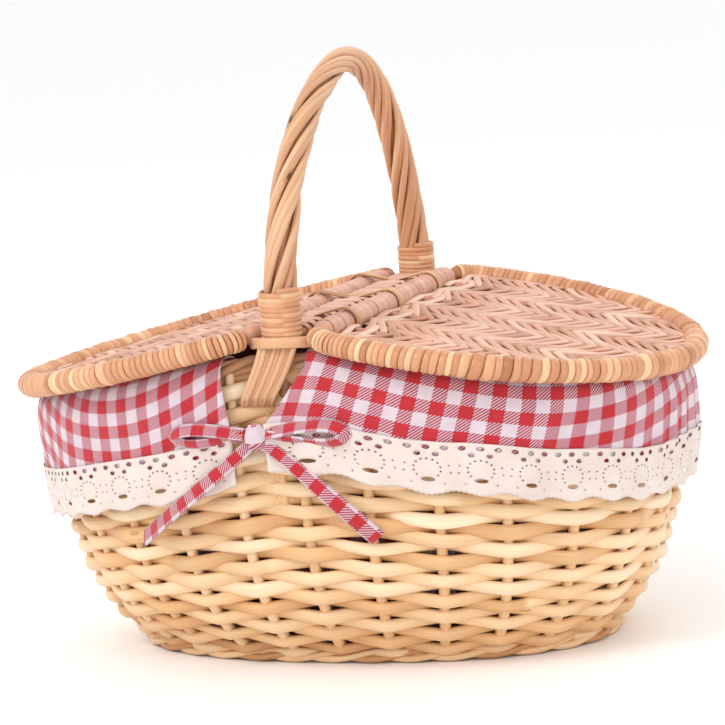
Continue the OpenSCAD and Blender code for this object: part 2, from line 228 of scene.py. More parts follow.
def willow(name, stops, streak=0.45, rough=(0.30, 0.52), knots=True):
    """Peeled willow: a colour for each rod, streaks along the grain and a few knots."""
    n = Nodes(name)
    uv = n.add("UVMap", uv_map="UVMap").outputs[0]
    shade = n.add("Attribute", attribute_name="shade").outputs["Fac"]
    body = n.ramp(shade, stops)
    grain = n.noise(n.stretched(uv, (45, 1400, 1)), 1.0, 3.0, 0.6)
    cloud = n.noise(n.stretched(uv, (22, 90, 1)), 1.0, 2.0)
    light = n.math("MULTIPLY_ADD", grain, streak, 1 - streak * 0.55)
    light = n.times(light, n.math("MULTIPLY_ADD", cloud, 0.36, 0.82))
    grey = n.add("CombineColor", {0: light, 1: light, 2: light}).outputs[0]
    colour = n.mix(1.0, body, grey, "MULTIPLY")
    height = grain
    if knots:
        cells = n.add("TexVoronoi", {"Vector": n.stretched(uv, (20, 55, 1)), "Scale": 1.0},
                      feature="F1")
        pick = n.add("SeparateColor", {0: cells.outputs["Color"]}).outputs[0]
        rare = n.math("GREATER_THAN", pick, 0.86)
        gap = cells.outputs["Distance"]
        spot = n.times(n.math("LESS_THAN", gap, 0.055), rare)
        ring = n.times(n.math("LESS_THAN", gap, 0.11), rare)
        colour = n.mix(n.times(ring, 0.45), colour, (0.30, 0.13, 0.045, 1))
        colour = n.mix(n.times(spot, 0.85), colour, (0.06, 0.035, 0.02, 1))
        height = n.math("ADD", grain, n.times(ring, 1.5))
    n.put(n.shader.inputs["Base Color"], colour)
    n.put(n.shader.inputs["Roughness"],
          n.math("MULTIPLY_ADD", cloud, rough[1] - rough[0], rough[0]))
    n.put(n.shader.inputs["Normal"], n.bump(height, 0.45, 0.0003))
    return n.material


def gingham():
    """Red and white cotton check: solid, diagonal-hatched and white squares, with its threads."""
    n = Nodes("gingham_cotton")
    period, hatch = 14.6 * MM, 1.95 * MM
    uv = n.add("UVMap", uv_map="UVMap").outputs[0]
    xyz = n.add("SeparateXYZ", {0: uv})
    along, across = xyz.outputs[0], xyz.outputs[1]

    def band(value):
        return n.math("LESS_THAN", n.math("FRACT", n.math("DIVIDE", value, period)), 0.5)

    warp, weft = band(along), band(across)
    both = n.times(warp, weft)
    either = n.math("SUBTRACT", n.math("MAXIMUM", warp, weft), both)
    lean = n.math("FRACT", n.math("DIVIDE", n.math("ADD", along, across), hatch))
    line = n.times(n.math("LESS_THAN", lean, 0.5), either)
    red, white, blush = (0.48, 0.014, 0.024, 1), (0.65, 0.54, 0.585, 1), (0.64, 0.40, 0.45, 1)
    colour = n.mix(either, white, blush)
    colour = n.mix(line, colour, (0.31, 0.014, 0.038, 1))
    colour = n.mix(both, colour, red)
    worn = n.noise(uv, 130.0, 3.0)
    pale = n.math("MULTIPLY_ADD", worn, 0.3, 0.85)
    grey = n.add("CombineColor", {0: pale, 1: pale, 2: pale}).outputs[0]
    colour = n.mix(1.0, colour, grey, "MULTIPLY")
    turn = TURN / (0.42 * MM)
    threads = n.times(n.math("SINE", n.times(along, turn)),
                     n.math("SINE", n.times(across, turn)))
    n.put(n.shader.inputs["Base Color"], colour)
    n.shader.inputs["Roughness"].default_value = 0.88
    n.shader.inputs["Sheen Weight"].default_value = 0.25
    n.shader.inputs["Sheen Roughness"].default_value = 0.5
    creases = n.bump(n.noise(uv, 90.0, 3.0), 0.35, 0.0012)
    n.put(n.shader.inputs["Normal"], n.bump(threads, 0.3, 0.00012, creases))
    return n.material


def lace_cotton():
    """Cream cotton lace, with close embroidery stitches."""
    n = Nodes("lace_cotton")
    uv = n.add("UVMap", uv_map="UVMap").outputs[0]
    cloud = n.noise(uv, 60.0, 3.0)
    stitch = n.noise(n.stretched(uv, (2600, 900, 1)), 1.0, 2.0)
    colour = n.ramp(cloud, [(0.3, (0.69, 0.57, 0.51)), (0.7, (0.75, 0.65, 0.60))])
    n.put(n.shader.inputs["Base Color"], colour)
    n.shader.inputs["Roughness"].default_value = 0.9
    n.shader.inputs["Sheen Weight"].default_value = 0.2
    n.put(n.shader.inputs["Normal"], n.bump(stitch, 0.5, 0.0002))
    return n.material


GOLDEN = [(0.0, (0.52, 0.24, 0.085)), (0.35, (0.73, 0.42, 0.19)), (0.7, (0.85, 0.58, 0.33)),
          (1.0, (0.92, 0.71, 0.48))]
PALE = [(0.0, (0.43, 0.18, 0.08)), (0.5, (0.60, 0.31, 0.16)), (1.0, (0.76, 0.48, 0.28))]
PINKISH = [(0.0, (0.46, 0.19, 0.10)), (0.4, (0.60, 0.29, 0.18)), (0.75, (0.68, 0.37, 0.26)),
           (1.0, (0.76, 0.48, 0.35))]
WRAP = [(0.0, (0.42, 0.16, 0.065)), (0.4, (0.58, 0.26, 0.12)), (0.75, (0.70, 0.36, 0.19)),
        (1.0, (0.82, 0.54, 0.31))]

MATERIALS = {
    "rods": willow("willow_rods", GOLDEN),
    "pale": willow("willow_pale_rods", PALE, streak=0.3),
    "lid": willow("willow_lid_skeins", PINKISH, streak=0.4),
    "wrap": willow("willow_wrapping", WRAP, streak=0.45, rough=(0.24, 0.4), knots=False),
    "gingham": gingham(),
    "lace": lace_cotton(),
}


# ---------- building meshes ----------

def place(piece, slot, *nodes, body="basket"):
    """Puts a finished piece on its body and hides the CAD nodes that it stands for; slot, its
    finish, is not used.
    """
    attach(piece, body)
    if nodes:
        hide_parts(*nodes)


def linked(name, data):
    """New object with the data, in the scene."""
    piece = bpy.data.objects.new(name, data)
    bpy.context.scene.collection.objects.link(piece)
    return piece


def mesh_object(name, points, faces, uvs, material, shade=None):
    """Smooth mesh object with a UV map in metres and, if given, a shade for each point."""
    mesh = bpy.data.meshes.new(name)
    mesh.from_pydata(points, [], faces)
    layer = mesh.uv_layers.new(name="UVMap")
    layer.data.foreach_set("uv", np.asarray(uvs, np.float32).ravel())
    if shade is not None:
        attribute = mesh.attributes.new("shade", "FLOAT", "POINT")
        attribute.data.foreach_set("value", np.asarray(shade, np.float32))
    mesh.polygons.foreach_set("use_smooth", np.ones(len(mesh.polygons), bool))
    mesh.materials.append(MATERIALS[material])
    return linked(name, mesh)


class Rods:
    """Rods and strips swept along paths, gathered into one piece."""

    TIP = ((0.45, 0.86), (0.8, 0.55), (0.97, 0.18))

    def __init__(self, name, material):
        self.name, self.material = name, material
        self.points, self.faces, self.uvs, self.shades = [], [], [], []
        self.count = 0

    def add(self, path, radius, normal, sides=8, closed=False, flat=1.0, shade=None):
        """radius is the half width beside the path, flat times it the half depth along normal."""
        path = np.asarray(path, float)
        n = len(path)
        radius = np.broadcast_to(np.asarray(radius, float), n)
        normal = np.broadcast_to(np.asarray(normal, float), (n, 3))
        shade = np.broadcast_to(np.asarray(dice.random() if shade is None else shade, float), n)
        if not closed:
            path, radius, normal, shade = self.rounded(path, radius, normal, shade, flat)
            n = len(path)
        if closed:
            tangent = np.roll(path, -1, 0) - np.roll(path, 1, 0)
        else:
            tangent = np.gradient(path, axis=0)
        tangent = unit(tangent)
        side = unit(np.cross(tangent, normal))
        up = np.cross(side, tangent)
        turn = np.arange(sides) / sides * TURN
        ring = (np.cos(turn)[None, :, None] * side[:, None]
                + flat * np.sin(turn)[None, :, None] * up[:, None])
        self.points.append((path[:, None] + radius[:, None, None] * ring).reshape(-1, 3))
        self.shades.append(np.repeat(shade, sides))
        self.skin(path, n, sides, closed, float(radius.mean()))
        self.count += n * sides

    def rounded(self, path, radius, normal, shade, flat):
        """Adds a domed tip to each end of an open rod."""
        first, last = unit(path[0] - path[1]), unit(path[-1] - path[-2])
        depth = min(1.0, flat * 1.3)
        head = [path[0] + first * radius[0] * depth * a for a, _ in reversed(self.TIP)]
        tail = [path[-1] + last * radius[-1] * depth * a for a, _ in self.TIP]
        path = np.concatenate([head, path, tail])
        radius = np.concatenate([[radius[0] * s for _, s in reversed(self.TIP)], radius,
                                 [radius[-1] * s for _, s in self.TIP]])
        k = len(self.TIP)
        normal = np.concatenate([np.repeat(normal[:1], k, 0), normal, np.repeat(normal[-1:], k, 0)])
        shade = np.concatenate([np.repeat(shade[:1], k), shade, np.repeat(shade[-1:], k)])
        return path, radius, normal, shade

    def skin(self, path, n, sides, closed, mean_radius):
        long = run_along(path)
        long = np.append(long, long[-1] + np.linalg.norm(path[0] - path[-1]))
        long += dice.random() * 7
        girth = TURN * mean_radius / sides
        last = n if closed else n - 1
        i, j = np.meshgrid(np.arange(last), np.arange(sides), indexing="ij")
        i2, j2 = (i + 1) % n, (j + 1) % sides
        quads = np.stack([i * sides + j, i2 * sides + j, i2 * sides + j2, i * sides + j2], -1)
        self.faces += (quads.reshape(-1, 4) + self.count).tolist()
        u = np.stack([long[i], long[i + 1], long[i + 1], long[i]], -1)
        v = np.stack([j, j, j + 1, j + 1], -1) * girth
        self.uvs.append(np.stack([u, v], -1).reshape(-1, 2))
        if not closed:
            self.faces.append([self.count + k for k in range(sides)])
            self.faces.append([self.count + (n - 1) * sides + k for k in reversed(range(sides))])
            for end in (long[0], long[n - 1]):
                self.uvs.append(np.tile([end, 0.0], (sides, 1)))

    def done(self, slot, *nodes, body="basket"):
        piece = mesh_object(self.name, np.concatenate(self.points), self.faces,
                            np.concatenate(self.uvs), self.material, np.concatenate(self.shades))
        place(piece, slot, *nodes, body=body)


def sheet_object(name, points, uv, material, thick, closed=False):
    """Cloth sheet through a grid of points, rows by columns, given a thickness outwards."""
    rows, cols = points.shape[:2]
    last = cols if closed else cols - 1
    i, j = np.meshgrid(np.arange(rows - 1), np.arange(last), indexing="ij")
    j2 = (j + 1) % cols
    quads = np.stack([i * cols + j, i * cols + j2, (i + 1) * cols + j2, (i + 1) * cols + j], -1)
    full = np.concatenate([uv, uv[:, :1] + [[[GIRTH, 0]]]], 1) if closed else uv
    corner = np.stack([full[i, j], full[i, j + 1], full[i + 1, j + 1], full[i + 1, j]], 2)
    piece = mesh_object(name, points.reshape(-1, 3), quads.reshape(-1, 4).tolist(),
                        corner.reshape(-1, 2), material)
    modifier = piece.modifiers.new("thickness", "SOLIDIFY")
    modifier.thickness = thick
    modifier.offset = 0
    return piece


def wave(u):
    """Triangle wave with softened corners: 1 at even u, -1 at odd u."""
    c = np.cos(math.pi * u)
    return 0.8 * (2 / math.pi) * np.arcsin(np.clip(c, -1, 1)) + 0.2 * c


def drawn_tone(middle, spread):
    return np.clip(middle + spread * dice.standard_normal(), 0, 1)


def ripple(s, seed, length, steps=6):
    """Smooth random ripple along s, within about -1 to 1."""
    r = np.random.default_rng(seed)
    total = np.zeros_like(s)
    for k in range(steps):
        total = total + np.sin(TURN * s * (0.6 + 0.23 * k) / length + r.random() * 6.3)
    return total / math.sqrt(steps)


# ---------- wall ----------

ROD_R = 4.4 * MM
WEAVE_IN = 3.5 * MM
ROWS = 28
WALL_FLAT = 0.66
WALL_H = 178 * MM
BASE_RINGS, BASE_PITCH = 18, 6.2 * MM


def row_heights():
    """Share of the wall's height for each row, by length up the rounded wall."""
    z = np.linspace(0, 1, 400)
    run = np.sqrt(np.diff(half(z * WALL_H, 0) * 0.8) ** 2 + np.diff(z * WALL_H) ** 2)
    run = run * np.interp(z[1:], [0, 0.2, 1], [0.80, 0.95, 1.0])
    along = np.concatenate([[0], np.cumsum(run)])
    return np.interp((np.arange(ROWS) + 0.9) / (ROWS + 0.6) * along[-1], along, z)


def stake_share(k):
    return (k + STAKE_SHIFT) / STAKES


def wall_top(t):
    return hoop_z(t) - 2 * MM


def side_weave():
    weave = Rods("side_weave_rods", "rods")
    per = 8
    share = np.arange(STAKES * per) / (STAKES * per)
    t = angle_at(share)
    u = share * STAKES - STAKE_SHIFT
    for row, s in enumerate(row_heights()):
        phase = u + row % 2
        bend = wave(phase)
        kink = (0.7 + 2.6 * (1 - s) ** 2) * MM
        z = s * wall_top(t) - kink * bend + 0.7 * MM * ripple(share * GIRTH, 100 + row, 0.22)
        z = np.maximum(z, 5 * MM)
        inset = WALL_T / 2 - WEAVE_IN * bend
        shade, radius = np.zeros(len(u)), np.zeros(len(u))
        place_k = int(dice.integers(0, STAKES))
        done = 0
        while done < STAKES:
            long = min(int(dice.integers(3, 6)) * 2, STAKES - done)
            index = (np.arange(long * per) + (place_k + done + row % 2) * per) % len(u)
            shade[index] = drawn_tone(0.6, 0.26)
            butt = ROD_R * (1.06 + 0.07 * dice.standard_normal())
            radius[index] = np.linspace(butt, butt * 0.86, len(index))
            done += long
        radius = radius * (0.94 + 0.12 * np.abs(bend))
        # The tone is each rod's own random tone plus painted light: a painted highlight on the
        # crest where the rod bows out in front of a stake, painted shade where it goes in behind
        # one.
        tone = np.clip(shade + 0.2 * bend - 0.06, 0, 1)
        weave.add(wall_at(t, z, inset), radius, outward(t, z), sides=12, closed=True,
                  flat=WALL_FLAT, shade=tone)
    weave.done("willow", "side_weave")


def side_stakes():
    stakes = Rods("side_stakes_rods", "rods")
    for k in range(STAKES):
        t = float(angle_at(stake_share(k)))
        z = np.concatenate([[4.6 * MM], np.linspace(7 * MM, float(wall_top(t)), 26)])
        inset = np.concatenate([[WALL_T + 10 * MM], np.full(26, WALL_T / 2)])
        inset[1] += 3 * MM
        lean = 2 * MM / 0.18 * np.sin(z / 0.18 * 3) * dice.standard_normal() * 0.4
        stakes.add(wall_at(t + lean, z, inset), np.linspace(3.3, 3.0, 27) * MM, outward(t, z[10]),
                   sides=10, shade=0.35 + 0.4 * dice.random())
    for x, low in ((-6 * MM, 96 * MM), (-12 * MM, 104 * MM)):
        for side in (-1, 1):
            t = rim_t(x * -side, side)
            z = np.linspace(low, float(wall_top(t)), 18)
            stakes.add(wall_at(t, z, WALL_T / 2), 2.6 * MM, outward(t, z[5]), sides=8,
                       shade=0.4)
    stakes.done("willow_pale", "side_stakes")


def twisted_ring(rods, centre, normal, up, orbit, radius, turns, count):
    """Closed rope of rods wound round a ring of centre points."""
    n = len(centre)
    for k in range(count):
        a = TURN * (turns * np.arange(n) / n + k / count)[:, None]
        spoke = np.cos(a) * normal + np.sin(a) * up
        rods.add(centre + orbit * spoke, radius, spoke, closed=True)


def top_border():
    border = Rods("top_border_rods", "pale")
    t = angle_at(np.arange(360) / 360)
    z = hoop_z(t)
    centre = wall_at(t, z, WALL_T / 2)
    twisted_ring(border, centre, outward(t, z), UP[None], 2.7 * MM, 2.75 * MM, 13, 3)
    border.done("willow_pale", "top_border")


def base_border():
    border = Rods("base_border_rods", "rods")
    t = angle_at(np.arange(480) / 480)
    z = 4.4 * MM
    twisted_ring(border, wall_at(t, z, 3 * MM), outward(t, z), UP[None], 1.9 * MM, 2.1 * MM, 11, 3)
    border.done("willow", "base_border")


def base_weave():
    weave = Rods("base_weave_rods", "rods")
    t = angle_at(np.arange(240) / 240)
    edge = wall_at(t, 0.0, WALL_T - 0.5 * MM)
    reach = np.linalg.norm(edge, axis=1).max()
    for ring in range(BASE_RINGS):
        share = 1 - ring * BASE_PITCH / reach
        path = edge * max(share, 0.03)
        path[:, 2] = 4.0 * MM + 1.1 * MM * np.cos(12 * t + math.pi * ring)
        weave.add(path, 2.85 * MM, (0, 0, 1), closed=True)
    weave.done("willow", "base_weave")


def base_sticks():
    sticks = Rods("base_sticks_rods", "pale")
    long_half, short_half = 119 * MM, 53 * MM
    for k in (-1, 0, 1):
        path = [(x, 12 * MM * k, 6 * MM) for x in np.linspace(-long_half, long_half, 12)]
        sticks.add(path, 2.6 * MM, (0, 0, 1))
    for k in range(-3, 4):
        reach = short_half * (1 - 0.03 * k * k)
        path = [(28 * MM * k, y, 5.4 * MM) for y in np.linspace(-reach, reach, 10)]
        sticks.add(path, 2.6 * MM, (0, 0, 1))
    sticks.done("willow_pale", "base_sticks")


# ---------- handle ----------

def arch_at(u):
    """Centre line of the handle, from the front foot to the back."""
    a = math.pi * np.asarray(u)
    lean = HANDLE_LEAN * power(np.clip(np.sin(a), 0, 1), LEAN_POWER)
    y = lean - HANDLE_HALF_W * power(np.cos(a), 2 / ARCH_N)
    z = HANDLE_FOOT_Z + (HANDLE_Z - HANDLE_FOOT_Z) * power(np.clip(np.sin(a), 0, 1), 2 / ARCH_N)
    return np.stack([np.zeros_like(y), y, z], -1)


def arch_share(u):
    """Thickness of the handle along its arch, as a share of that at its feet."""
    return 1 - (1 - HANDLE_TOP_SHARE) * np.sin(math.pi * np.asarray(u)) ** 2


def even_arch(n):
    """Shares along the arch, evenly spaced by length."""
    u = np.linspace(0, 1, 2001)
    along = run_along(arch_at(u))
    return np.interp(np.linspace(0, along[-1], n), along, u)


def handle():
    u = even_arch(240)
    line = arch_at(u)
    tangent = unit(np.gradient(line, axis=0))
    across = np.array([[1.0, 0, 0]])
    beside = np.cross(tangent, across)
    core = Rods("handle_core_rod", "pale")
    foot = np.array([[0, -HANDLE_HALF_W, z] for z in (0.162, 0.178)])
    thick = np.concatenate([[1, 1], arch_share(u), [1, 1]]) * 5.0 * MM
    core.add(np.concatenate([foot, line, foot[::-1] * [1, -1, 1]]), thick, (1, 0, 0), sides=10,
             shade=0.1)
    core.done("willow_pale", "handle_core")
    strands = Rods("handle_strand_rods", "pale")
    count, turns = 11, 2.75
    share = np.linspace(0, 1, len(u))
    for k in range(count):
        wander = 0.16 * ripple(share, 300 + k, 1.3, 4)
        a = TURN * (k / count + turns * share)[:, None] + wander[:, None]
        spoke = np.cos(a) * across + np.sin(a) * beside
        orbit = ((7.2 * arch_share(u) + 0.2 * ripple(share, 330 + k, 0.7, 4)) * MM)[:, None]
        radius = (2.2 * arch_share(u) + 0.1 * ripple(share, 360 + k, 1.1, 3)) * MM
        tone = 0.3 + 0.6 * dice.random() + 0.08 * ripple(share, 390 + k, 0.5)
        strands.add(line + orbit * spoke, radius, spoke, sides=10, shade=np.clip(tone, 0, 1))
    strands.done("willow", "handle_strands")


def coil_strip(rods, centre, across, beside, radius, widths, thick, per, tone, spread, start=0):
    """Strip wound in close turns round a centre line, each turn as wide as widths says; across and
    beside are its two directions."""
    turns = len(widths)
    n = turns * per + 1
    ends = np.concatenate([[0], np.cumsum(widths)]) / np.sum(widths)
    s = np.interp(np.arange(n) / per, np.arange(turns + 1), ends) * (len(centre) - 1)
    half_width = 0.54 * np.interp(np.arange(n) / per - 0.5, np.arange(turns), widths)
    low = np.minimum(np.floor(s).astype(int), len(centre) - 2)
    part = (s - low)[:, None]

    def between(v):
        v = np.broadcast_to(v, centre.shape)
        return v[low] * (1 - part) + v[low + 1] * part

    a = (TURN * np.arange(n) / per + start)[:, None]
    spoke = np.cos(a) * unit(between(across)) + np.sin(a) * unit(between(beside))
    turn = (np.arange(n) // per).astype(int)
    tones = np.clip(tone + spread * dice.standard_normal(turn.max() + 1), 0, 1)
    lift = 0.12 * MM * dice.standard_normal(turn.max() + 1)
    smooth = np.interp(np.arange(n) / per, np.arange(turn.max() + 1), lift)
    rods.add(between(centre) + (radius + smooth)[:, None] * spoke, half_width, spoke, sides=8,
             flat=thick / float(np.mean(half_width)), shade=tones[turn])


def bindings():
    for name, side in ENDS:
        wraps = Rods(f"handle_binding_{name}_skein", "wrap")
        y = side * HANDLE_HALF_W
        high = BINDING_H[name]
        z = np.linspace(HANDLE_FOOT_Z + 2.5 * MM, HANDLE_FOOT_Z + high, 12)
        centre = np.stack([np.zeros(12), np.full(12, y), z], -1)
        turns = round(high / (3.1 * MM))
        coil_strip(wraps, centre, (1.0, 0, 0), (0, -1.0, 0), 10.7 * MM, np.full(turns, 3.1 * MM),
                   0.85 * MM, per=28, tone=0.72, spread=0.15, start=1.2)
        strap_turn = np.linspace(-0.5, 0.5, 40) * math.pi
        reach = 12.6 * MM + 9 * MM * np.abs(strap_turn / 2) ** 3
        strap = np.stack([reach * np.sin(strap_turn) * 1.1,
                          y + side * reach * np.cos(strap_turn),
                          HANDLE_FOOT_Z + 1.5 * MM - 2.5 * MM * (strap_turn / 2) ** 2], -1)
        spoke = unit(strap - np.array([0, y, HANDLE_FOOT_Z]))
        spoke[:, 2] = 0.15
        wraps.add(strap, 3.2 * MM, spoke, flat=0.3, shade=0.8)
        wraps.done("willow", f"handle_binding_{name}")


def fans():
    for name, side in ENDS:
        fan = Rods(f"handle_fan_{name}_rods", "pale")
        rods = 8
        for k in range(rods):
            v = k / (rods - 1) - 0.5
            u = np.linspace(0, 1, 22)
            x = (20 * v * (1 - 0.15 * u) - 17 * u ** 1.45) * MM * -side
            z = (193 - 35 * u) * MM
            off = (2.2 + 0.7 * (k % 2) + 3.1 * np.sin(math.pi * np.minimum(u * 1.15, 1))
                   - 6.0 * np.maximum(0, u - 0.86) / 0.14) * MM
            t = np.array([rim_t(float(a), side) for a in x])
            path = wall_at(t, z, -off)
            path[:, 0] = x
            fan.add(path, (1.75 - 0.25 * u) * MM, (0, side, 0.1), sides=8,
                    shade=dice.random())
        fan.done("willow_pale", f"handle_fan_{name}")


# ---------- bridge and hinge loops ----------

def racetrack(x1, r1, x2, r2, n=40):
    """Closed belt round two circles side by side at hinge height: its x, z and normals."""
    a = np.linspace(0, TURN, n, endpoint=False)
    out = np.stack([np.cos(a), np.zeros(n), np.sin(a)], -1)
    first = x1 * out[:, 0] + r1 > x2 * out[:, 0] + r2
    size = np.where(first, r1, r2)
    return np.where(first, x1, x2) + out[:, 0] * size, HINGE_Z + out[:, 2] * size, out


def bridge():
    for name, side in SIDES:
        rod = Rods(f"bridge_rod_{name}_willow", "pale")
        y = np.linspace(-BRIDGE_HALF_L, BRIDGE_HALF_L, 30)
        path = np.stack([np.full(30, side * BRIDGE_ROD_X), y, np.full(30, HINGE_Z)], -1)
        rod.add(path, 3.2 * MM, (0, 0, 1), sides=12)
        rod.done("willow_pale", f"bridge_rod_{name}")
    weave = Rods("bridge_weave_skeins", "lid")
    bands = 37
    for k in range(bands):
        y = (k / (bands - 1) - 0.5) * 2 * (BRIDGE_HALF_L - 4 * MM)
        x, z, normal = racetrack(-BRIDGE_ROD_X, 4.1 * MM, BRIDGE_ROD_X, 4.1 * MM)
        dip = 0.5 * MM * np.cos(math.pi * k) * np.cos(x / BRIDGE_ROD_X * 1.5)
        lean = 1.6 * MM * np.sin(x / BRIDGE_ROD_X * 1.2) * (1 if k % 2 else -1)
        path = np.stack([x, y + lean, z + dip], -1)
        weave.add(path, 2.65 * MM, normal, closed=True, flat=0.28,
                  shade=drawn_tone(0.75, 0.2))
    weave.done("willow_lid", "bridge_weave")


def hinge_loops():
    for name, side in SIDES:
        loops = Rods(f"hinge_loops_{name}_skein", "pale")
        for y in LOOP_Y:
            for k, lean in ((-1, 1.1), (1, -1.1)):
                x, z, normal = racetrack(side * HINGE_X, RAIL_R + 1.1 * MM,
                                         side * BRIDGE_ROD_X, 5.6 * MM)
                shift = k * 1.9 * MM + lean * MM * normal[:, 2] * 0.4
                path = np.stack([x, y + shift, z], -1)
                loops.add(path, 1.75 * MM, normal, closed=True, flat=0.42)
        loops.done("willow_pale", f"hinge_loops_{name}")


# ---------- lids ----------

CORNER_CY = math.sqrt((LID_PATH_R - LID_CORNER_R) ** 2 - (LID_CX - LID_CORNER_R) ** 2)
CORNER_ANGLE = math.atan2(CORNER_CY, LID_CORNER_R - LID_CX)


def lid_outline(n, inset=0.0):
    """Evenly spaced points of the lid's outline, outwards p and sideways q, with its normals."""
    def arc(cp, cq, r, a0, a1, steps=200):
        a = np.linspace(a0, a1, steps)
        out = np.stack([np.cos(a), np.sin(a)], -1)
        return np.array([cp, cq]) + (r - inset) * out, out

    parts = [arc(LID_CORNER_R, -CORNER_CY, LID_CORNER_R, -LID_RIM_END, -CORNER_ANGLE),
             arc(LID_CX, 0, LID_PATH_R, -CORNER_ANGLE, CORNER_ANGLE, 800),
             arc(LID_CORNER_R, CORNER_CY, LID_CORNER_R, CORNER_ANGLE, LID_RIM_END)]
    points = np.concatenate([p for p, _ in parts])
    normals = np.concatenate([o for _, o in parts])
    run = run_along(points)
    even = np.linspace(0, run[-1], n)
    pick = [np.interp(even, run, v) for v in (*points.T, *normals.T)]
    return np.stack(pick[:2], -1), unit(np.stack(pick[2:], -1)), run[-1]


class Lid:
    """Places points drawn flat, p outwards from the hinge, q sideways and h up, on a closed lid."""

    def __init__(self, name, side):
        self.name, self.side = name, side
        self.body = f"{name}_lid"
        c, s = math.cos(LID_ANGLE), math.sin(LID_ANGLE)
        self.p = np.array([side * c, 0, -s])
        self.q = np.array([0, 1.0, 0])
        self.h = np.array([side * s, 0, c])
        self.hinge = np.array([side * HINGE_X, 0, HINGE_Z])

    def at(self, p, q, h):
        p, q, h = np.broadcast_arrays(p, q, h)
        return self.hinge + p[..., None] * self.p + q[..., None] * self.q + h[..., None] * self.h

    def node(self, part):
        return f"{self.name}_{part}"


RIBS = 7
RIB_START = 12.5 * MM


def rib_line(k):
    """Start and end of rib k, as outwards and sideways places."""
    v = k / (RIBS - 1) - 0.5
    q1 = 2 * (CORNER_CY - 12 * MM) * v
    reach = LID_PATH_R - 2 * MM
    p1 = LID_CX + math.sqrt(reach ** 2 - q1 ** 2)
    return (RIB_START, q1 * 0.86), (p1, q1)


def rib_phase(p, q):
    """Which rib is at (p, q), as a running number: 0 on the first, 1 on the next."""
    share = np.clip((p - RIB_START) / 0.16, 0, 1)
    width = 2 * (CORNER_CY - 12 * MM) * (0.86 + 0.14 * share)
    return (q / width + 0.5) * (RIBS - 1)


def lid_weave(lid):
    weave = Rods(f"{lid.name}_weave_skeins", "lid")
    pitch = 4.0 * MM
    lean = 12.5 * MM
    first = 10.5 * MM
    count = int((LID_CX + LID_PATH_R - first + lean) / pitch) + 3
    for k in range(-1, count):
        q = np.arange(-0.128, 0.1281, 1.6 * MM)
        base = first + k * pitch
        phase = rib_phase(np.full_like(q, base), q)
        zig = (2 / math.pi) * np.arcsin(np.sin(math.pi * (phase + 0.5)))
        near = np.clip((base - first) / (2.2 * lean), 0.0, 1)
        p = base + lean * zig * near + 0.8 * MM * ripple(q, 500 + k, 0.07)
        h = 1.2 * MM * wave(phase + k % 2) + 0.3 * MM
        inside = (np.hypot(p - LID_CX, q) < LID_PATH_R - 3.5 * MM) | (p < LID_CORNER_R)
        corner = (p < LID_CORNER_R) & (np.abs(q) > CORNER_CY)
        from_corner = np.hypot(p - LID_CORNER_R, np.abs(q) - CORNER_CY)
        inside &= ~corner | (from_corner < LID_CORNER_R - 3.5 * MM)
        inside &= p > first - 1.5 * MM
        inside &= np.abs(q) < CORNER_CY + LID_CORNER_R - 3.5 * MM
        inside &= (p > 13 * MM) | (np.min([np.abs(q - y) for y in LOOP_Y], 0) > 5.6 * MM)
        edges = np.flatnonzero(np.diff(np.concatenate([[0], inside.astype(int), [0]])))
        for start, stop in zip(edges[::2], edges[1::2]):
            if stop - start < 4:
                continue
            part = slice(start, stop)
            tone = drawn_tone(0.62, 0.28)
            path = lid.at(p[part], q[part], h[part])
            weave.add(path, 2.35 * MM * (1 + 0.07 * dice.standard_normal()), lid.h, sides=10,
                      flat=0.46, shade=tone)
    weave.done("willow_lid", lid.node("weave"), body=lid.body)


def lid_ribs(lid):
    ribs = Rods(f"{lid.name}_ribs_willow", "lid")
    for k in range(RIBS):
        (p0, q0), (p1, q1) = rib_line(k)
        s = np.linspace(0, 1, 14)
        ribs.add(lid.at(p0 + (p1 - p0) * s, q0 + (q1 - q0) * s, 0), 2.0 * MM, lid.h, sides=8,
                 shade=0.2)
    ribs.done("willow_pale", lid.node("ribs"), body=lid.body)


FINE_TURNS_RUN = 90 * MM


def strip_widths(run):
    """Widths of the rim's turns: fine beside the hinge, wider and less even further out."""
    widths, done = [], 0.0
    while done < run:
        near_end = min(done, run - done) / FINE_TURNS_RUN
        mean = (2.4 + 2.4 * min(1.0, near_end)) * MM
        widths.append(mean * (1 + 0.22 * dice.standard_normal() * min(1.0, near_end)))
        widths[-1] = float(np.clip(widths[-1], 2.0 * MM, 7.0 * MM))
        done += widths[-1]
    return np.array(widths)


def lid_rim(lid):
    points, _, _ = lid_outline(160)
    core = Rods(f"{lid.name}_rim_rod", "wrap")
    # The core under the wrap strips takes the darkest wrap colour, as painted shade in the gaps
    # between the strips.
    core.add(lid.at(*points.T, 0), 5.4 * MM, lid.h, sides=12, shade=0.0)
    core.done("willow_pale", lid.node("rim"), body=lid.body)
    wrap = Rods(f"{lid.name}_rim_wrap_strips", "wrap")
    points, normals, run = lid_outline(900)
    centre = lid.at(*points.T, 0)
    across = normals[:, :1] * lid.p + normals[:, 1:] * lid.q
    coil_strip(wrap, centre, across, lid.h[None], 5.75 * MM, strip_widths(run), 1.2 * MM, per=16,
               tone=0.6, spread=0.22, start=-1.4)
    wrap.done("willow", lid.node("rim_wrap"), body=lid.body)


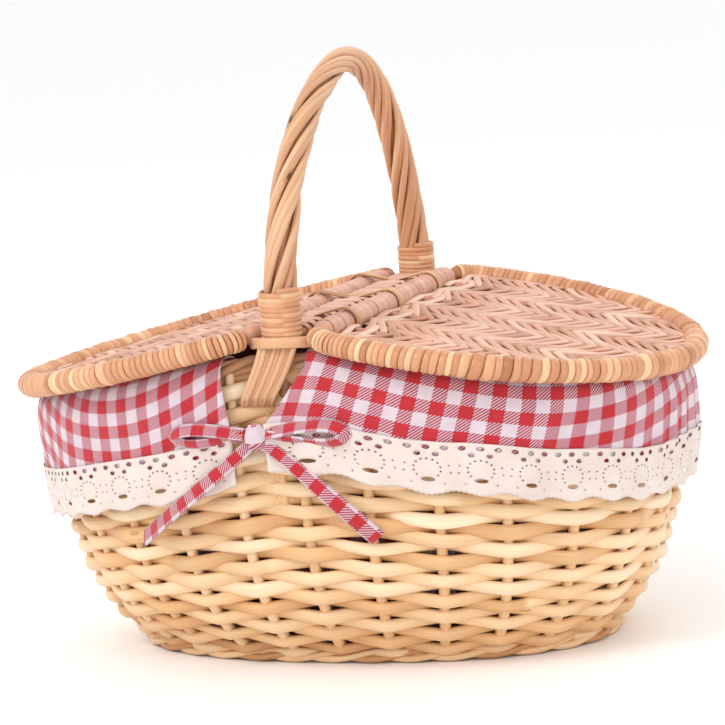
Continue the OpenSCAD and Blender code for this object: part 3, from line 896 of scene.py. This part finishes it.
def lid_rail(lid):
    rail = Rods(f"{lid.name}_rail_willow", "lid")
    q = np.linspace(-RAIL_HALF + 5 * MM, RAIL_HALF - 5 * MM, 60)
    rail.add(lid.at(0, q, 0), RAIL_R - 0.8 * MM, lid.h, sides=20, shade=0.55)
    inner = q[(q > -RAIL_HALF + 8 * MM) & (q < RAIL_HALF - 8 * MM)]
    centre = lid.at(0, inner, 0)
    turns = round((inner[-1] - inner[0]) / (9.0 * MM))
    coil_strip(rail, centre, lid.p[None], lid.h[None], RAIL_R - 0.65 * MM,
               np.full(turns, 9.0 * MM), 0.5 * MM, per=24, tone=0.7, spread=0.12)
    rail.done("willow_lid", lid.node("rail"), body=lid.body)


# ---------- lining, skirt and lace ----------

BAG_FLOOR_Z, BAG_PATTERN_DEEP = 10 * MM, 185 * MM


def lining_bag():
    cols, rows = 300, 26
    share = np.arange(cols) / cols
    t = angle_at(share)
    top = hoop_z(t) - 9 * MM
    grid, uvs = [], []
    down = 0.0
    for r in range(rows):
        s = 1 - r / (rows - 1)
        z = BAG_FLOOR_Z + s * (top - BAG_FLOOR_Z)
        fullness = 0.3 + 0.7 * math.sin(math.pi * s)
        pucker = 0.9 * MM * (1 + ripple(share * GIRTH, 11, 0.07)) * fullness
        grid.append(wall_at(t, z, WALL_T + 2.0 * MM + pucker))
        down = (1 - s) * BAG_PATTERN_DEEP
        uvs.append(np.stack([share * GIRTH, np.full(cols, down)], -1))
    rim = grid[-1]
    for k in range(1, 15):
        shrink = 1 - k / 15
        ring = rim * [shrink, shrink, 1]
        ring[:, 2] = BAG_FLOOR_Z + 0.6 * MM * ripple(share * GIRTH * shrink, 17, 0.11)
        grid.append(ring)
        uvs.append(np.stack([share * GIRTH, np.full(cols, down + k * 7 * MM)], -1))
    bag = sheet_object("lining_bag_cloth", np.array(grid), np.array(uvs), "gingham", 0.6 * MM,
                       closed=True)
    place(bag, "gingham", "lining_bag")


SKIRT_COLS = 320
CHECK_LEAN = {"left": 0.1, "right": 0.4}


def skirt_section(drop):
    """Inset and height of the skirt, from inside the wall over the hoop and down its outside."""
    over = [(16.2, -12), (16.2, -4), (15.6, 2), (13.6, 5.4), (10.5, 6.8), (7.0, 7.1), (3.5, 6.9),
            (0.4, 5.6), (-2.1, 2.0), (-3.2, -4), (-3.6, -12), (-3.4, -22)]
    hem = [(-3.0 * MM, -drop), (-2.2 * MM, -drop - SKIRT_UNDER_LACE)]
    return np.concatenate([np.array(over) * MM, hem])


def skirt_t(share, dz, drop):
    """Wall angles along the right skirt, from its pulled front edge to its free back edge."""
    v = np.clip(-dz / drop, 0, 1)
    t0 = rim_t(PULLED_EDGE_X - PULLED_SLANT * v, -1)
    t1 = rim_t(FREE_EDGE_X + FREE_SLANT * v, 1)
    return t0 + (t1 - t0) * share


def billow(share, depth, seed):
    """How far the cloth stands off the wall; depth runs from 0 at the rim to 1 at the hem."""
    s = share * 0.5 * GIRTH
    low = np.clip(depth, 0, 1)
    soft = 1.5 * (1 + ripple(s + 0.012 * low, seed, 0.10))
    pulled = 2.8 * np.exp(-s / 0.06) * (1 + np.sin(TURN * (s / 0.021 - 0.5 * low)))
    end = 1.3 * np.exp(-((share - 0.5) / 0.09) ** 2) * (1 + np.sin(TURN * s / 0.017))
    free = 1.2 * np.exp(-(0.5 * GIRTH - s) / 0.03) * (1 + np.sin(TURN * s / 0.019))
    return (soft + pulled + end + free) * (0.25 + 0.75 * low) * MM


def turned(points, side):
    """The left skirt and lace are the right ones, turned half a turn about the handle."""
    return points * [side, side, 1]


def skirts():
    share = np.linspace(0, 1, SKIRT_COLS)
    for name, side, seed in (("left", -1, 21), ("right", 1, 22)):
        drop = SKIRT_DROP[name]
        rough = skirt_section(drop)
        k = np.linspace(0, len(rough) - 1, 3 * len(rough) - 2)
        fine = np.stack([np.interp(k, np.arange(len(rough)), v) for v in rough.T], -1)
        run = run_along(fine)
        grid, uvs = [], []
        for (inset, dz), down in zip(fine, run):
            t = skirt_t(share, dz, drop)
            low = min(max(-dz / drop, 0.0), 1.0)
            outside = float(inset < 0) * min(max(-dz / (6 * MM), 0.0), 1.0)
            sag = 0.8 * MM * ripple(share * 0.5 * GIRTH, seed + 5, 0.12) * low
            off = billow(share, -dz / drop, seed) * outside
            grid.append(wall_at(t, hoop_z(t) + dz + sag, inset - off))
            pull = CHECK_LEAN[name] * down * np.exp(-share / 0.5)
            uvs.append(np.stack([length_at(t) + pull, down - 0.03 * np.sin(9 * share) * share], -1))
        skirt = sheet_object(f"lining_skirt_{name}_cloth", turned(np.array(grid), side),
                             np.array(uvs), "gingham", 0.6 * MM)
        place(skirt, "gingham", f"lining_skirt_{name}")


def lace_cell(width, height):
    """One repeat of the lace, flat: points and triangles with its eyelets left open."""
    def oval(cx, cy, a, b, n):
        turn = np.arange(n) / n * TURN
        return np.stack([cx + a * np.cos(turn), cy + b * np.sin(turn)], -1)

    def edge(x):
        lobe = 1.2 * MM * math.cos(TURN * x / width + math.pi)
        return height - 1.9 * MM + lobe + 0.6 * MM * abs(math.sin(math.pi * x / width * 10))

    third = width / 3
    mid = width / 2
    holes = [oval(third * (k + 0.5), 3.1 * MM, 2.0 * MM, 1.35 * MM, 10) for k in range(3)]
    holes += [oval(third * (k + 1), 6.9 * MM, 1.7 * MM, 1.2 * MM, 10) for k in range(2)]
    for k in range(14):
        a = TURN * (k + 0.5) / 14
        if math.sin(a) < 0.8:
            holes.append(oval(mid + 6.6 * MM * math.cos(a), 15.2 * MM + 5.6 * MM * math.sin(a),
                              0.62 * MM, 0.5 * MM, 6))
    holes.append(oval(mid, 21.2 * MM, 3.5 * MM, 1.25 * MM, 16))
    for x, y in ((2.6, 13.0), (2.0, 17.0), (width / MM - 2.6, 13.0), (width / MM - 2.0, 17.0),
                 (5.2, 23.2), (width / MM - 5.2, 23.2)):
        holes.append(oval(x * MM, y * MM, 0.55 * MM, 0.45 * MM, 6))
    levels = np.linspace(0, edge(0), 16)
    border = [(0, y) for y in levels]
    border += [(x, edge(x)) for x in np.linspace(0, width, 41)[1:-1]]
    border += [(width, y) for y in levels[::-1]]
    border += [(x, 0) for x in np.linspace(width, 0, 14)[1:-1]]
    points, edges = [], []
    for outline in (border, *holes):
        start, n = len(points), len(outline)
        points += [Vector(p) for p in outline]
        edges += [(start + k, start + (k + 1) % n) for k in range(n)]
    for x in np.arange(1.4 * MM, width - 0.7 * MM, 1.45 * MM):
        for y in np.arange(1.2 * MM, edge(x) - 0.9 * MM, 1.45 * MM):
            if not any(near(hole, x, y, 0.5 * MM) for hole in holes):
                points.append(Vector((x, y)))
    made = delaunay_2d_cdt(points, edges, [], 0, 1e-7)
    flat, faces = np.array([tuple(p) for p in made[0]]), []
    for face in made[2]:
        centre = flat[list(face)].mean(0)
        if centre[1] < edge(centre[0]) and not any(near(h, *centre, 0.0) for h in holes):
            faces.append(list(face))
    return flat, faces


def near(hole, x, y, gap):
    """True if the point is in an oval hole, or within gap of it."""
    cx, cy = hole.mean(0)
    a, b = hole[:, 0].max() - cx + gap, hole[:, 1].max() - cy + gap
    return ((x - cx) / a) ** 2 + ((y - cy) / b) ** 2 < 1.0


def laces():
    height = LACE_DROP + 1.0 * MM
    for name, side, seed in (("left", -1, 21), ("right", 1, 22)):
        drop = SKIRT_DROP[name]
        t0, t1 = skirt_t(0.0, -drop, drop), skirt_t(1.0, -drop, drop)
        long = float(length_at(t1) - length_at(t0))
        cells = round(long / (26 * MM))
        flat, faces = lace_cell(long / cells, height)
        s = np.concatenate([flat[:, 0] + k * long / cells for k in range(cells)]) / long
        down = np.tile(flat[:, 1], cells)
        all_faces = [[v + k * len(flat) for v in face] for k in range(cells) for face in faces]
        t = t0 + (t1 - t0) * s
        sag = 0.8 * MM * ripple(s * 0.5 * GIRTH, seed + 5, 0.12)
        hang = billow(s, np.ones_like(s), seed) * np.clip(1 - down / (1.6 * height), 0, 1)
        waver = 0.7 * MM * (1 + ripple(s * 0.5 * GIRTH, seed + 9, 0.05)) * down / height
        points = wall_at(t, hoop_z(t) - drop + 1.0 * MM - down + sag, -4.2 * MM - hang - waver)
        uv = np.stack([s * long, down], -1)
        loops = np.concatenate([uv[face] for face in all_faces])
        lace = mesh_object(f"lace_{name}_cotton", turned(points, side), all_faces, loops, "lace")
        weld = lace.modifiers.new("weld", "WELD")
        weld.merge_threshold = 0.02 * MM
        modifier = lace.modifiers.new("thickness", "SOLIDIFY")
        modifier.thickness = 0.45 * MM
        modifier.offset = 0
        place(lace, "lace", f"lace_{name}")


# ---------- bow ----------

def front_at(x, z, off):
    """Point in front of the wall at x and height z, off in front of it."""
    t = np.array([rim_t(float(np.clip(a, -0.19, 0.19)), -1) for a in np.atleast_1d(x)])
    points = wall_at(t, z, 0.0)
    points[:, 0] = x
    points[:, 1] -= off
    return points


def ribbon_strip(path, face, width, phase):
    """Ribbon grid along a path: face is where its front looks; width and UV phase in metres."""
    tangent = unit(np.gradient(path, axis=0))
    side = unit(np.cross(tangent, face))
    run = run_along(path)
    across = np.linspace(-0.5, 0.5, 7)
    width = np.broadcast_to(width, len(path))
    cup = 0.10 * width[None] * (across[:, None] * 2) ** 2
    grid = path[None] + across[:, None, None] * width[None, :, None] * side[None] \
        - cup[..., None] * unit(face)[None]
    uv = np.stack(np.broadcast_arrays(run[None] + phase, across[:, None] * 10 * MM + 3 * MM), -1)
    return grid, uv


def bow(name, side):
    strips = []
    n = 46
    u = np.linspace(0, 1, n)
    for way, reach, high, phase in ((-1, 47, 6.5, 0.0), (1, 54, 7.5, 0.004)):
        a = math.pi * (2 * u - 1)
        x = BOW_X + way * (5 + (reach - 5) * (0.5 + 0.5 * np.cos(a)) ** 0.85) * MM
        z = BOW_Z + (1.5 + high * np.sin(a) * (0.35 + 0.65 * (0.5 + 0.5 * np.cos(a)))) * MM
        off = (7.5 + 3.0 * np.cos(a * 0.5) + 1.2 * np.sin(a)) * MM
        path = front_at(x, z, off)
        tilt = 0.75 * np.sign(np.sin(a) + 1e-9) * np.abs(np.sin(a)) ** 0.3
        face = np.stack(np.broadcast_arrays(0.25 * way, -0.75, tilt), -1)
        width = (8.5 - 1.6 * np.abs(2 * u - 1) ** 4) * MM
        strips.append(ribbon_strip(path, unit(face), width, phase))
    for way, dx, dz, phase, bow_out in ((-1, 76, 56, 0.02, 5.0), (1, 62, 56, 0.05, 4.0)):
        x = BOW_X + way * (3 + dx * u ** (1.3 if way < 0 else 0.9)) * MM
        z = BOW_Z - (3 + dz * (0.75 * u + 0.25 * u ** 2)) * MM
        off = (7.5 + bow_out * np.sin(math.pi * u) - 3.0 * u) * MM
        path = front_at(x, z, off)
        twist = 0.7 * np.sin(2.6 * u + way)
        face = np.stack(np.broadcast_arrays(0.2 * way, -1.0, twist), -1)
        strips.append(ribbon_strip(path, unit(face), (6.5 + 4.0 * u) * MM, phase))
    parts = ("loop_left", "loop_right", "tail_left", "tail_right")
    for k, (part, (grid, uv)) in enumerate(zip(parts, strips)):
        strip = sheet_object(f"bow_{name}_{part}", turned(grid, side), uv, "gingham", 0.6 * MM)
        place(strip, "gingham", *([f"bow_{name}"] if k == 0 else []))
    knot(name, side)


def knot(name, side):
    """Puckered knot of the ribbon."""
    rows, cols = 14, 28
    lat = np.linspace(-0.98, 0.98, rows)[:, None] * math.pi / 2
    lon = np.linspace(0, TURN, cols, endpoint=False)[None]
    crease = 1 + 0.10 * np.cos(3 * lon + 2 * lat) + 0.06 * np.cos(7 * lon - lat)
    x = 6.2 * MM * np.cos(lat) * np.cos(lon) * crease
    z = 7.4 * MM * np.sin(lat) + 0.8 * MM * np.cos(lon * 2)
    y = -5.2 * MM * np.cos(lat) * np.sin(lon) * crease
    centre = front_at(BOW_X, BOW_Z, 7.0 * MM)[0]
    grid = np.stack(np.broadcast_arrays(centre[0] + x, centre[1] + y, centre[2] + z), -1)
    uv = np.stack(np.broadcast_arrays(0.0085 + lon * 2.2 * MM, 0.009 + lat * 5 * MM), -1)
    quads, loops = [], []
    for i in range(rows - 1):
        for j in range(cols):
            j2 = (j + 1) % cols
            quads.append([i * cols + j, i * cols + j2, (i + 1) * cols + j2, (i + 1) * cols + j])
            step = [2.2 * MM * TURN / cols, 0]
            loops += [uv[i, j], uv[i, j] + step, uv[i + 1, j] + step, uv[i + 1, j]]
    for row in (0, rows - 1):
        ring = [row * cols + j for j in range(cols)]
        quads.append(ring[::-1] if row == 0 else ring)
        loops += [uv[row, 0]] * cols
    points = turned(grid.reshape(-1, 3), side)
    piece = mesh_object(f"bow_{name}_knot", points, quads, np.array(loops), "gingham")
    smooth = piece.modifiers.new("smooth", "SUBSURF")
    smooth.levels = smooth.render_levels = 1
    place(piece, "gingham")


# ---------- camera, light and floor ----------

def camera():
    """Camera a little right of the front and above the rim, with a long lens and some roll."""
    azimuth, elevation, roll = math.radians(20.71), math.radians(8.55), math.radians(-4.845)
    distance, focal_px, picture_px = 1.7457, 2966.6, 725.0
    aim = Vector((0.0018, 0.0007, 0.1608))
    back = Vector((math.sin(azimuth) * math.cos(elevation),
                   -math.cos(azimuth) * math.cos(elevation), math.sin(elevation)))
    right = Vector((math.cos(azimuth), math.sin(azimuth), 0))
    up = back.cross(right)
    right2 = right * math.cos(roll) + up * math.sin(roll)
    up2 = up * math.cos(roll) - right * math.sin(roll)
    data = bpy.data.cameras.new("camera")
    data.sensor_width = 36
    data.lens = 36 * focal_px / picture_px
    eye = linked("camera", data)
    eye.matrix_world = Matrix.Translation(aim + back * distance) @ Matrix(
        (right2, up2, back)).transposed().to_4x4()
    bpy.context.scene.camera = eye


def lamp(name, place_at, size, watts):
    data = bpy.data.lights.new(name, "AREA")
    data.shape = "DISK"
    data.size, data.energy = size, watts
    light = linked(name, data)
    light.location = place_at
    aim = Vector((0, 0, 0.12)) - Vector(place_at)
    light.rotation_euler = aim.to_track_quat("-Z", "Y").to_euler()


def studio():
    lamp("key", (-1.1, -1.5, 2.0), 1.2, 24)
    lamp("fill", (1.8, -1.4, 1.0), 1.6, 9)
    lamp("rim", (0.4, 1.9, 1.6), 1.4, 7)
    world = bpy.data.worlds.new("studio")
    world.use_nodes = True
    background = world.node_tree.nodes["Background"]
    background.inputs[0].default_value = (1, 1, 1, 1)
    background.inputs[1].default_value = 1.0
    bpy.context.scene.world = world
    bpy.context.scene.view_settings.view_transform = "Standard"
    mesh = bpy.data.meshes.new("floor")
    reach = 60.0
    corners = [(x * reach, y * reach, 0) for x, y in ((-1, -1), (1, -1), (1, 1), (-1, 1))]
    mesh.from_pydata(corners, [], [(0, 1, 2, 3)])
    n = Nodes("floor_paint")
    n.shader.inputs["Base Color"].default_value = (0.97, 0.97, 0.97, 1)
    n.shader.inputs["Roughness"].default_value = 0.85
    mesh.materials.append(n.material)
    floor = linked("floor", mesh)
    floor.location = (0, 0, -0.5 * MM)


camera()
studio()
side_weave()
side_stakes()
top_border()
base_border()
base_weave()
base_sticks()
handle()
bindings()
fans()
bridge()
hinge_loops()
for lid in (Lid(name, side) for name, side in SIDES):
    lid_weave(lid)
    lid_ribs(lid)
    lid_rim(lid)
    lid_rail(lid)
lining_bag()
skirts()
laces()
bow("front", 1)
bow("back", -1)
